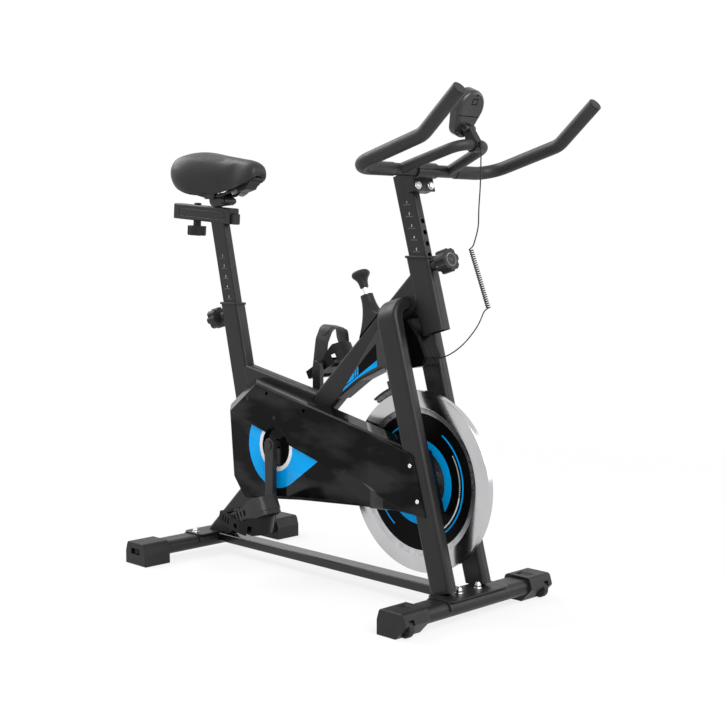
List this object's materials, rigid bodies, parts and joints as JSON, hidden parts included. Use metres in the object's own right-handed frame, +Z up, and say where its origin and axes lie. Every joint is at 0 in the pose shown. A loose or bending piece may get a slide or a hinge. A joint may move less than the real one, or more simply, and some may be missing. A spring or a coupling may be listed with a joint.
{
  "type": "exercise bike",
  "caption": "Indoor cycling bike with a chromed flywheel, covered belt drive, friction brake, sliding saddle, height-adjustable bars and a small monitor on a curly cable.",
  "frame": {"origin": "on the floor, half way between the rearmost and foremost ends and in the middle plane", "axes": "+X forward, +Y to the rider's left, +Z up"},
  "size_m": [1.1138, 0.48, 1.0582],
  "materials": {
    "frame_paint": "satin black powder coat",
    "moulded_black": "fine grained black moulding",
    "gloss_black": "polished black moulding",
    "zinc": "bright zinc plate",
    "steel": "machined",
    "chromed_iron": "chromed rim and a dark printed disc",
    "pulley_plastic": "moulded",
    "rubber": "soft matte",
    "cable_sheath": "smooth cable sheath",
    "grip_foam": "smooth closed-cell sleeve",
    "felt": "pressed wool felt",
    "saddle_skin": "fine grained covering",
    "screen": "clear window"
  },
  "bodies": {
    "frame": {"main_tube": "frame_paint", "seat_tube": "frame_paint", "head_tube": "frame_paint", "top_tube": "frame_paint", "fork_legs": "frame_paint", "base_rail": "frame_paint", "frame_lugs": "frame_paint", "mount_plates": "frame_paint", "stabilizers": "frame_paint", "stabilizer_feet": "moulded_black", "frame_fasteners": "zinc", "tube_collars": "moulded_black", "crank_bearings": "steel", "belt_cover": "gloss_black", "belt_cover_back": "gloss_black", "brake_shroud": "moulded_black", "tension_boot": "moulded_black", "drive_belt": "rubber"},
    "seat_mast": {"seat_post": "frame_paint", "rail_end_caps": "moulded_black"},
    "saddle": {"seat_slider": "frame_paint", "saddle_clamp": "zinc", "saddle_wires": "zinc", "saddle_base": "moulded_black", "saddle_pad": "saddle_skin"},
    "slider_lock": {"slider_knob": "moulded_black"},
    "seat_plunger": {"seat_pin": "zinc"},
    "seat_grip": {"seat_knob": "moulded_black"},
    "bar_plunger": {"bar_pin": "zinc"},
    "bar_grip": {"bar_knob": "moulded_black"},
    "bars": {"handlebar_post": "frame_paint", "bar_clamp": "frame_paint", "handlebar": "frame_paint", "handlebar_loop": "frame_paint", "bar_end_caps": "moulded_black", "bar_sleeves": "grip_foam", "monitor_bracket": "moulded_black", "cable_upper": "cable_sheath", "cable_coil": "cable_sheath", "cable_lower": "cable_sheath"},
    "monitor": {"monitor_case": "gloss_black", "monitor_lens": "screen"},
    "monitor_key": {"mode_button": "moulded_black"},
    "brake": {"tension_rod": "zinc", "brake_shoe": "steel", "brake_pad": "felt"},
    "brake_grip": {"tension_knob": "moulded_black"},
    "crank": {"crank_axles": "steel", "drive_pulley": "pulley_plastic", "crank_arms": "frame_paint"},
    "right_pedal": {"pedal_right": "moulded_black", "pedal_strap_right": "rubber"},
    "left_pedal": {"pedal_left": "moulded_black", "pedal_strap_left": "rubber"},
    "wheel": {"flywheel": "chromed_iron", "flywheel_hub": "steel"},
    "right_roller": {"transport_wheel_right": "rubber"},
    "left_roller": {"transport_wheel_left": "rubber"},
    "right_dial": {"leveller_right": "moulded_black"},
    "left_dial": {"leveller_left": "moulded_black"}
  },
  "joints": [
    {"name": "flywheel_spin", "type": "hinge", "parent": "frame", "child": "wheel", "pos_m": [0.26703, 0, 0.258], "axis": [0, 1, 0], "continuous": true},
    {"name": "crank_spin", "type": "hinge", "parent": "frame", "child": "crank", "pos_m": [-0.12498, 0, 0.299], "axis": [0, 1, 0], "continuous": true},
    {"name": "pedal_right_spin", "type": "hinge", "parent": "crank", "child": "right_pedal", "pos_m": [-0.12498, -0.132, 0.1295], "axis": [0, 1, 0], "continuous": true},
    {"name": "pedal_left_spin", "type": "hinge", "parent": "crank", "child": "left_pedal", "pos_m": [-0.12498, 0.132, 0.4685], "axis": [0, 1, 0], "continuous": true},
    {"name": "seat_height", "type": "slide", "parent": "frame", "child": "seat_mast", "axis": [-0.2284, 0, 0.9736], "range_m": [-0.12, 0.06]},
    {"name": "seat_fore_aft", "type": "slide", "parent": "seat_mast", "child": "saddle", "axis": [0.9969, 0, -0.0785], "range_m": [-0.03, 0.04]},
    {"name": "slider_knob_turn", "type": "hinge", "parent": "saddle", "child": "slider_lock", "pos_m": [-0.47816, 0, 0.81927], "axis": [-0.0785, 0, -0.9969], "range_deg": [-360, 360]},
    {"name": "seat_pin_pull", "type": "slide", "parent": "frame", "child": "seat_plunger", "axis": [-0.9736, 0, -0.2284], "range_m": [0, 0.012], "stiffness_N_per_m": 900, "springref_m": -0.004},
    {"name": "seat_knob_turn", "type": "hinge", "parent": "seat_plunger", "child": "seat_grip", "pos_m": [-0.36839, 0, 0.5787], "axis": [-0.9736, 0, -0.2284], "range_deg": [-360, 360]},
    {"name": "handlebar_height", "type": "slide", "parent": "frame", "child": "bars", "axis": [-0.2756, 0, 0.9613], "range_m": [-0.08, 0.03], "deforming": ["cable_lower"]},
    {"name": "bar_pin_pull", "type": "slide", "parent": "frame", "child": "bar_plunger", "axis": [0.9613, 0, 0.2756], "range_m": [0, 0.012], "stiffness_N_per_m": 900, "springref_m": -0.004},
    {"name": "bar_knob_turn", "type": "hinge", "parent": "bar_plunger", "child": "bar_grip", "pos_m": [0.30218, 0, 0.7072], "axis": [0.9613, 0, 0.2756], "range_deg": [-360, 360]},
    {"name": "brake_push", "type": "slide", "parent": "frame", "child": "brake", "axis": [0.3827, 0, -0.9239], "range_m": [0, 0.0026], "stiffness_N_per_m": 4000, "springref_m": -0.003},
    {"name": "tension_turn", "type": "hinge", "parent": "brake", "child": "brake_grip", "pos_m": [0.10171, 0, 0.65712], "axis": [-0.3827, 0, 0.9239], "range_deg": [-1080, 0]},
    {"name": "monitor_tilt", "type": "hinge", "parent": "bars", "child": "monitor", "pos_m": [0.39397, 0, 0.97738], "axis": [0, 1, 0], "range_deg": [-15, 20]},
    {"name": "mode_press", "type": "slide", "parent": "monitor", "child": "monitor_key", "axis": [0.9135, 0, -0.4067], "range_m": [0, 0.001], "stiffness_N_per_m": 100, "springref_m": -0.0005},
    {"name": "roller_right_spin", "type": "hinge", "parent": "frame", "child": "right_roller", "pos_m": [0.42302, -0.208, 0.02], "axis": [0, 1, 0], "continuous": true},
    {"name": "roller_left_spin", "type": "hinge", "parent": "frame", "child": "left_roller", "pos_m": [0.42302, 0.208, 0.02], "axis": [0, 1, 0], "continuous": true},
    {"name": "dial_right_turn", "type": "hinge", "parent": "frame", "child": "right_dial", "pos_m": [-0.41897, -0.225, 0.032], "axis": [0, 0, 1], "range_deg": [-360, 360]},
    {"name": "dial_left_turn", "type": "hinge", "parent": "frame", "child": "left_dial", "pos_m": [-0.41897, 0.225, 0.032], "axis": [0, 0, 1], "range_deg": [-360, 360]}
  ],
  "couplings": [
    {"joint": "crank_spin", "follows": "flywheel_spin", "ratio": 0.22449}
  ]
}
